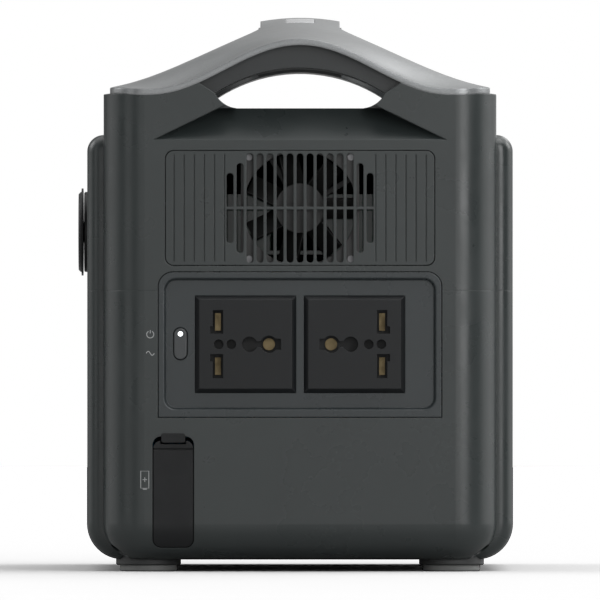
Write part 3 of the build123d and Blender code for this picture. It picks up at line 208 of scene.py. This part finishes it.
front_plastic = moulded("front_plastic", (0.016, 0.0175, 0.019), roughness=0.32, depth=0.00003)
glass = glossy("display_glass", (0.006, 0.0065, 0.0075))
inlay_paint = painted("inlay_paint", (0.66, 0.67, 0.68), roughness=0.28)
white_light = lit("white_light", (0.92, 0.96, 1.0), 1.6)
brass = metal("contact_brass", (0.16, 0.125, 0.07), 0.4)
nickel = metal("port_steel", (0.62, 0.62, 0.63), 0.24, brushed=(1, 8, 1))
black_steel = metal("screw_steel", (0.16, 0.16, 0.165), 0.34)
sink_metal = metal("sink_aluminium", (0.74, 0.75, 0.77), 0.3, brushed=(1, 9, 1))
port_blue = moulded("port_plastic", (0.012, 0.05, 0.20), roughness=0.35, depth=0.00002)
fan_plastic = moulded("fan_plastic", (0.011, 0.011, 0.0105), roughness=0.38, depth=0.00003)
board_green = glossy("board_mask", (0.012, 0.075, 0.045), roughness=0.25)
cell_wrap = glossy("cell_wrap", (0.05, 0.20, 0.33), roughness=0.3)
copper = metal("bus_nickel", (0.66, 0.60, 0.52), 0.28)
ferrite = moulded("transformer_tape", (0.22, 0.17, 0.035), roughness=0.4)
sleeve = glossy("capacitor_sleeve", (0.60, 0.62, 0.64), roughness=0.28)
nylon = moulded("post_nylon", (0.62, 0.62, 0.58), roughness=0.45)
red_lead = rubbery("lead_sleeve", (0.32, 0.015, 0.012), roughness=0.5)
# Near-black filter foam, which also serves as painted shade seen through the grilles.
filter_foam_and_shade = rubbery("filter_foam_and_shade", (0.006, 0.006, 0.006), roughness=0.9)
print_grey = moulded("print_grey", (0.34, 0.35, 0.35), roughness=0.45, depth=0.00002, edge=0)
display_ink = lit("display_ink", (0.62, 0.86, 1.0), 1.3)

LOOKS = {
    case_plastic: ["lower_case", "upper_case"],
    grille_plastic: ["vent_grille", "intake_grille"],
    panel_plastic: ["ac_panel", "input_panel"],
    handle_paint: ["handle_cover"],
    inlay_paint: ["top_inlay"],
    frame_plastic: ["handle_core"],
    fan_plastic: ["fan_frames", "exhaust_fan_rotor", "intake_fan_rotor", "cell_holders"],
    grip_rubber: ["grip_pad", "case_gasket", "pack_cushions"],
    cover_rubber: ["expansion_cover", "hinge_tabs", "car_cap", "input_cover"],
    foot_rubber: ["foot_pads"],
    foot_plastic: ["foot_seats"],
    front_plastic: ["front_panel"],
    socket_plastic: ["outlet_left", "outlet_right", "expansion_socket", "mains_inlet", "solar_inlet",
                     "dc_jacks", "car_socket"],
    button_plastic: ["ac_button", "power_button", "usb_button", "dc_button"],
    reset_plastic: ["reset_button"],
    white_light: ["ac_button_light", "power_button_light"],
    glass: ["display_lens"],
    board_green: ["display_module", "battery_board", "inverter_board", "charger_board", "front_board"],
    brass: ["socket_contacts", "dc_contacts", "inlet_pins"],
    nickel: ["usb_a_ports", "usb_c_port"],
    port_blue: ["usb_a_tongues"],
    black_steel: ["case_screws", "handle_screws", "fan_screws"],
    cell_wrap: ["battery_cells"],
    copper: ["bus_bars"],
    sink_metal: ["heat_sinks"],
    ferrite: ["transformer"],
    sleeve: ["capacitors"],
    nylon: ["board_posts", "button_switches"],
    red_lead: ["power_leads"],
}


def dress_nodes():
    for material, names in LOOKS.items():
        for name in names:
            mesh = NODES[name].data
            mesh.materials.clear()
            mesh.materials.append(material)


# ---- Small pieces in mesh code ------------------------------------------------------------

def make_piece(name, mesh, material, body):
    piece = bpy.data.objects.new(name, mesh)
    bpy.context.scene.collection.objects.link(piece)
    mesh.materials.append(material)
    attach(piece, body)
    return piece


def arc(centre, radius, start, end, steps):
    """Points along an arc, its ends given in degrees."""
    turns = [math.radians(start + (end - start) * i / steps) for i in range(steps + 1)]
    return [(centre[0] + radius * math.cos(turn), centre[1] + radius * math.sin(turn)) for turn in turns]


def stroke(points, width, closed=False):
    """A flat ribbon of one width along a line of points, as quads in the plane."""
    count = len(points)
    left, right = [], []
    for i, point in enumerate(points):
        before = points[i - 1] if i or closed else points[i]
        after = points[(i + 1) % count] if i < count - 1 or closed else points[i]
        way = Vector((after[0] - before[0], after[1] - before[1])).normalized()
        side = Vector((-way.y, way.x)) * width / 2
        left.append((point[0] + side.x, point[1] + side.y))
        right.append((point[0] - side.x, point[1] - side.y))
    spans = count if closed else count - 1
    return [[left[i], right[i], right[(i + 1) % count], left[(i + 1) % count]]
            for i in range(spans)]


def print_mark(name, shapes, place, material, body):
    """Printed shapes on a surface: each is a polygon in the plane of place, given a little thickness."""
    mesh = bpy.data.meshes.new(name)
    build = bmesh.new()
    for shape in shapes:
        base = [build.verts.new(place @ Vector((x, y, 0))) for x, y in shape]
        top = [build.verts.new(place @ Vector((x, y, PRINT_THICKNESS))) for x, y in shape]
        build.faces.new(top)
        build.faces.new(base[::-1])
        for i in range(len(shape)):
            j = (i + 1) % len(shape)
            build.faces.new((base[i], base[j], top[j], top[i]))
    bmesh.ops.remove_doubles(build, verts=build.verts, dist=1e-7)
    bmesh.ops.recalc_face_normals(build, faces=build.faces)
    build.to_mesh(mesh)
    build.free()
    return make_piece(name, mesh, material, body)


def plane_at(x, y, z, facing):
    """A local frame on a wall: x to the right and y up as seen by someone facing the wall."""
    normal = Vector(facing)
    up = Vector((0, 0, 1))
    right = up.cross(normal)
    turn = Matrix((right, up, normal)).transposed().to_4x4()
    return Matrix.Translation((x, y, z)) @ turn


OUTLET_WAY = (0, -1, 0)
SIDE_WAY = (-1, 0, 0)
INPUT_WAY = (0, 1, 0)


def disc(centre, radius, steps=24):
    return arc(centre, radius, 0, 360 - 360 / steps, steps - 1)


def bar(centre, width, height):
    x, y = centre
    return [(x - width / 2, y - height / 2), (x + width / 2, y - height / 2),
            (x + width / 2, y + height / 2), (x - width / 2, y + height / 2)]


def power_symbol(size, line):
    ring = stroke(arc((0, 0), size, 120, 420, 22), line)
    return ring + [bar((0, size * 0.75), line, size * 0.95)]


def sine_symbol(size, line):
    steps = 20
    wave = [(size * (-1 + 2 * i / steps), size * 0.5 * math.sin(2 * math.pi * i / steps))
            for i in range(steps + 1)]
    return stroke(wave, line)


def battery_symbol(width, height, line):
    outline = [(-width, -height), (width, -height), (width, height), (-width, height)]
    shapes = stroke(outline, line, closed=True)
    shapes.append(bar((width + line * 1.2, 0), line * 1.4, height))
    shapes.append(bar((0, 0), line, height * 1.1))
    shapes.append(bar((0, 0), height * 1.1, line))
    return shapes


def dust_filter_and_shade_sheet():
    """A pleated foam filter behind the intake fan, reaching a little past the grille opening. Its
    near-black
    foam is also painted shade: a dark sheet that hides the light which would show through the case.
    """
    low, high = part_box("intake_grille")
    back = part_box("intake_fan_rotor")[0].y - 7 * MM
    # The margin takes the dark sheet past the grille's edges, so no light shows through the gaps around
    # it.
    margin = Vector((4, 0, 7)) * MM
    low, high = low - margin, high + margin
    folds, deep, thick = 96, 1.2 * MM, 1 * MM
    mesh = bpy.data.meshes.new("dust_filter_and_shade_sheet")
    build = bmesh.new()
    rows = []
    for i in range(folds + 1):
        x = low.x + (high.x - low.x) * i / folds
        y = back - deep * (i % 2)
        rows.append([build.verts.new((x, y, low.z)), build.verts.new((x, y, high.z)),
                     build.verts.new((x, y - thick, high.z)), build.verts.new((x, y - thick, low.z))])
    for first, second in zip(rows, rows[1:]):
        for i in range(4):
            j = (i + 1) % 4
            build.faces.new((first[i], first[j], second[j], second[i]))
    build.faces.new(rows[0][::-1])
    build.faces.new(rows[-1])
    bmesh.ops.recalc_face_normals(build, faces=build.faces)
    build.to_mesh(mesh)
    build.free()
    make_piece("dust_filter_and_shade_sheet", mesh, filter_foam_and_shade, "case")


dress_nodes()
dust_filter_and_shade_sheet()


# ---- Printed marks, display and small lights -------------------------------------------------

BUTTON_MARKS_X = -0.0632    # beside the outlet button
BUTTON_MARKS_RISE = 0.004   # above and below the button's middle
COVER_MARK_X = -0.0655      # beside the expansion cover
COVER_MARK_RISE = 0.006     # above the cover's middle
RESET_MARK_X = 0.012        # beside the reset button


def end_marks():
    """Plain pictograms beside the outlet button and the expansion cover."""
    low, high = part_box("ac_button")
    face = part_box("ac_panel")[0].y
    middle = (low.z + high.z) / 2
    for name, shapes, rise in (
            ("outlet_power_mark", power_symbol(1.5 * MM, END_LINE), BUTTON_MARKS_RISE),
            ("outlet_wave_mark", sine_symbol(1.7 * MM, END_LINE), -BUTTON_MARKS_RISE)):
        spot = plane_at(BUTTON_MARKS_X, face - PRINT_LIFT, middle + rise, OUTLET_WAY)
        print_mark(name, shapes, spot, print_grey, "case")
    low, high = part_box("expansion_cover")
    spot = plane_at(COVER_MARK_X, face - PRINT_LIFT, (low.z + high.z) / 2 + COVER_MARK_RISE, OUTLET_WAY)
    turn = Matrix.Rotation(math.radians(-90), 4, "Z")
    print_mark("expansion_mark", battery_symbol(3.6 * MM, 1.7 * MM, END_LINE), spot @ turn, print_grey,
               "case")


SEGMENTS = {"0": "abcdef", "1": "bc", "2": "abged", "3": "abgcd", "4": "fgbc", "5": "afgcd",
            "6": "afgedc", "7": "abc", "8": "abcdefg", "9": "abcdfg"}


def digit(symbol, x, y, width, height, line):
    """One figure of seven bars, its middle at x, y."""
    middle, gap = height / 2, line * 0.35
    bars = {"a": ((0, middle), True), "g": ((0, 0), True), "d": ((0, -middle), True),
            "f": ((-width / 2, middle / 2), False), "b": ((width / 2, middle / 2), False),
            "e": ((-width / 2, -middle / 2), False), "c": ((width / 2, -middle / 2), False)}
    shapes = []
    for segment in SEGMENTS[symbol]:
        (sx, sy), flat = bars[segment]
        size = (width - line - gap, line) if flat else (line, middle - line - gap)
        shapes.append(bar((x + sx, y + sy), *size))
    return shapes


CHARGE_BARS = 20            # places round the ring
CHARGE_SHOWN = 17           # of which lit
POWER_X = 34                # mm from the display's middle to each power reading


def display_picture():
    """What the display shows: charge in figures, a ring of charge bars, and input and output power."""
    low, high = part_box("display_lens")
    spot = plane_at(low.x - PRINT_LIFT, (low.y + high.y) / 2, (low.z + high.z) / 2, SIDE_WAY)
    shapes = []
    for i, symbol in enumerate("86"):
        shapes += digit(symbol, (-4.6 + 9.2 * i) * MM, 0, 6 * MM, 12 * MM, 1.3 * MM)
    inner, outer = (17 * MM, 1.1 * MM), (19 * MM, 1.3 * MM)
    wedge = [(inner[0], -inner[1]), (outer[0], -outer[1]), outer, inner]
    for i in range(CHARGE_SHOWN):
        turn = math.radians(90 - 360 / CHARGE_BARS * i)
        across, along = math.cos(turn), math.sin(turn)
        shapes.append([(x * across - y * along, x * along + y * across) for x, y in wedge])
    for side, figures in ((-1, "120"), (1, "045")):
        for i, symbol in enumerate(figures):
            x = (side * POWER_X + 4.4 * (i - 1)) * MM
            shapes += digit(symbol, x, 3 * MM, 2.8 * MM, 5.6 * MM, 0.65 * MM)
        middle, tip = side * POWER_X * MM, side * 2.2 * MM
        shapes.append(bar((middle, -6.5 * MM), 12 * MM, 0.8 * MM))
        arrow = [(middle - tip, -12 * MM), (middle + tip, -10 * MM), (middle - tip, -8 * MM)]
        shapes.append(arrow[::side])
    print_mark("display_picture", shapes, spot, display_ink, "case")


def side_marks():
    """Generic marks by the ports and buttons on the display side."""
    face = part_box("front_panel")[0].x - PRINT_LIFT

    def above(node, rise, shapes, name):
        low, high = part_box(node)
        spot = plane_at(face, (low.y + high.y) / 2, high.z + rise, SIDE_WAY)
        print_mark(name, shapes, spot, print_grey, "case")

    right_tine = [(0, -1 * MM), (1.6 * MM, 0.6 * MM), (1.6 * MM, 1.4 * MM)]
    left_tine = [(0, -1.8 * MM), (-1.6 * MM, -0.2 * MM), (-1.6 * MM, 0.6 * MM)]
    trident = [bar((0, 0), SIDE_LINE, 5 * MM),
               *stroke(right_tine, SIDE_LINE), *stroke(left_tine, SIDE_LINE),
               disc((0, -2.7 * MM), 0.7 * MM, 16), disc((-1.6 * MM, 0.9 * MM), 0.45 * MM, 12)]
    above("usb_a_ports", 4.2 * MM, trident, "usb_a_mark")
    above("usb_c_port", 5.4 * MM, trident, "usb_c_mark")
    direct = [bar((0, 0.7 * MM), 5 * MM, SIDE_LINE)]
    direct += [bar((x * MM, -0.7 * MM), 1.2 * MM, SIDE_LINE) for x in (-1.9, 0, 1.9)]
    above("dc_jacks", 3.2 * MM, direct, "dc_mark")
    above("car_socket", 4.4 * MM, direct, "car_outlet_mark")
    for node, body in (("usb_button", "usb_button_body"), ("dc_button", "dc_button_body")):
        low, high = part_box(node)
        spot = plane_at(low.x - PRINT_LIFT, (low.y + high.y) / 2, (low.z + high.z) / 2, SIDE_WAY)
        print_mark(node + "_symbol", power_symbol(1.5 * MM, BUTTON_LINE), spot, print_grey, body)
        spot = plane_at(low.x - PRINT_LIFT, (low.y + high.y) / 2, low.z + 1.5 * MM, SIDE_WAY)
        print_mark(node + "_light", [disc((0, 0), 0.55 * MM)], spot, white_light, body)


def far_end_marks():
    """A turning arrow beside the reset button at the far end."""
    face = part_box("input_panel")[1].y
    low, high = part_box("reset_button")
    spot = plane_at(RESET_MARK_X, face + PRINT_LIFT, (low.z + high.z) / 2, INPUT_WAY)
    turn = stroke(arc((0, 0), 1.7 * MM, 60, 360, 18), BUTTON_LINE)
    arrow = [(0.7 * MM, 2.2 * MM), (2.1 * MM, 1.8 * MM), (1.0 * MM, 0.7 * MM)]
    print_mark("reset_mark", turn + [arrow[::-1]], spot, print_grey, "case")


# ---- Camera, light and floor -----------------------------------------------------------------

def look_at(thing, target):
    way = Vector(target) - thing.location
    thing.rotation_euler = way.to_track_quat("-Z", "Y").to_euler()


def make_camera():
    data = bpy.data.cameras.new("camera")
    data.lens = LENS_MM
    data.sensor_width = SENSOR_MM
    camera = bpy.data.objects.new("camera", data)
    bpy.context.scene.collection.objects.link(camera)
    near_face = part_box("ac_panel")[0].y
    camera.location = (0, near_face - VIEW_WIDTH * LENS_MM / SENSOR_MM, VIEW_MIDDLE)
    look_at(camera, (0, 0, VIEW_MIDDLE))
    data.clip_end = CAMERA_REACH
    bpy.context.scene.camera = camera


def soft_box(name, place, target, width, height, power):
    data = bpy.data.lights.new(name, "AREA")
    data.shape = "RECTANGLE"
    data.size = width
    data.size_y = height
    data.energy = power
    light = bpy.data.objects.new(name, data)
    bpy.context.scene.collection.objects.link(light)
    light.location = place
    light.visible_camera = False
    look_at(light, target)


def light_studio():
    soft_box("key_right", (0.55, -1.2, 0.5), (0.05, 0, 0.13), 0.5, 0.9, 6.5)
    soft_box("fill_left", (-1.2, -1.2, 0.45), (0, 0, 0.12), 0.6, 1.0, 1.6)
    soft_box("overhead", (0.35, -0.45, 1.25), (0, 0, 0.15), 0.8, 0.8, 5)
    soft_box("display_side", (-1.5, 0.25, 1.0), (0, 0, 0.12), 0.8, 0.8, 6)
    soft_box("plain_side", (1.5, 0.25, 1.0), (0, 0, 0.12), 0.8, 0.8, 6)
    soft_box("far_end", (0.9, 1.3, 1.2), (0, 0, 0.12), 0.7, 0.7, 4)


def spread(tree, value, start, end, low, high):
    """Low at start, high at end, and a smooth change between the two."""
    node = tree.nodes.new("ShaderNodeMapRange")
    node.interpolation_type = "SMOOTHSTEP"
    for socket, number in (("From Min", start), ("From Max", end), ("To Min", low), ("To Max", high)):
        node.inputs[socket].default_value = number
    tree.links.new(value, node.inputs["Value"])
    return node.outputs["Result"]


def combine(tree, operation, first, second):
    node = tree.nodes.new("ShaderNodeMath")
    node.operation = operation
    tree.links.new(first, node.inputs[0])
    tree.links.new(second, node.inputs[1])
    return node.outputs["Value"]


def light_world():
    """A soft surround that the object mirrors: a bright patch straight ahead, a bright strip down
    each side that is stronger at the right, dark between the two, behind it a rise from nearly
    dark at the left to middling at the right, and a little light above. The camera sees plain
    white in place of it."""
    bpy.context.scene.view_settings.view_transform = "Standard"
    world = bpy.data.worlds.new("studio")
    bpy.context.scene.world = world
    world.use_nodes = True
    tree = world.node_tree
    way = tree.nodes.new("ShaderNodeSeparateXYZ")
    place = tree.nodes.new("ShaderNodeTexCoord")
    tree.links.new(place.outputs["Generated"], way.inputs["Vector"])
    across, along, up = way.outputs
    front = spread(tree, along, -0.90, -0.985, 0.0, 1.25)
    strips = combine(tree, "MULTIPLY", spread(tree, along, -0.35, 0.0, 0.0, 1.0),
                     spread(tree, across, -0.5, 0.5, 1.1, 1.9))
    strips = combine(tree, "MULTIPLY", strips, spread(tree, along, 0.35, 0.75, 1.0, 0.0))
    behind = combine(tree, "MULTIPLY", spread(tree, along, 0.35, 0.75, 0.0, 1.0),
                     spread(tree, across, -0.3, 0.3, 0.07, 0.62))
    above = spread(tree, up, 0.3, 0.95, 0.03, 0.6)
    total = combine(tree, "ADD", combine(tree, "ADD", front, strips), combine(tree, "ADD", behind, above))
    sky = tree.nodes["Background"]
    sky.inputs["Color"].default_value = WHITE
    tree.links.new(total, sky.inputs["Strength"])
    plain = tree.nodes.new("ShaderNodeBackground")
    plain.inputs["Strength"].default_value = 1.0
    plain.inputs["Color"].default_value = WHITE
    seen = tree.nodes.new("ShaderNodeLightPath")
    mix = tree.nodes.new("ShaderNodeMixShader")
    tree.links.new(seen.outputs["Is Camera Ray"], mix.inputs[0])
    tree.links.new(sky.outputs["Background"], mix.inputs[1])
    tree.links.new(plain.outputs["Background"], mix.inputs[2])
    tree.links.new(mix.outputs["Shader"], tree.nodes["World Output"].inputs["Surface"])


def lay_floor():
    """A floor that only takes the object's shadow, so the picture stays white around it."""
    mesh = bpy.data.meshes.new("floor")
    build = bmesh.new()
    bmesh.ops.create_grid(build, x_segments=8, y_segments=8, size=FLOOR_SIZE)
    build.to_mesh(mesh)
    build.free()
    floor = bpy.data.objects.new("floor", mesh)
    bpy.context.scene.collection.objects.link(floor)
    pale = new_material("pale_floor", (0.3, 0.3, 0.3), 0.7)
    tint(pale, noise(pale, 3, 2), (0.295, 0.295, 0.295), (0.305, 0.305, 0.305))
    mesh.materials.append(pale)
    floor.is_shadow_catcher = True


end_marks()
display_picture()
side_marks()
far_end_marks()
make_camera()
light_studio()
light_world()
lay_floor()
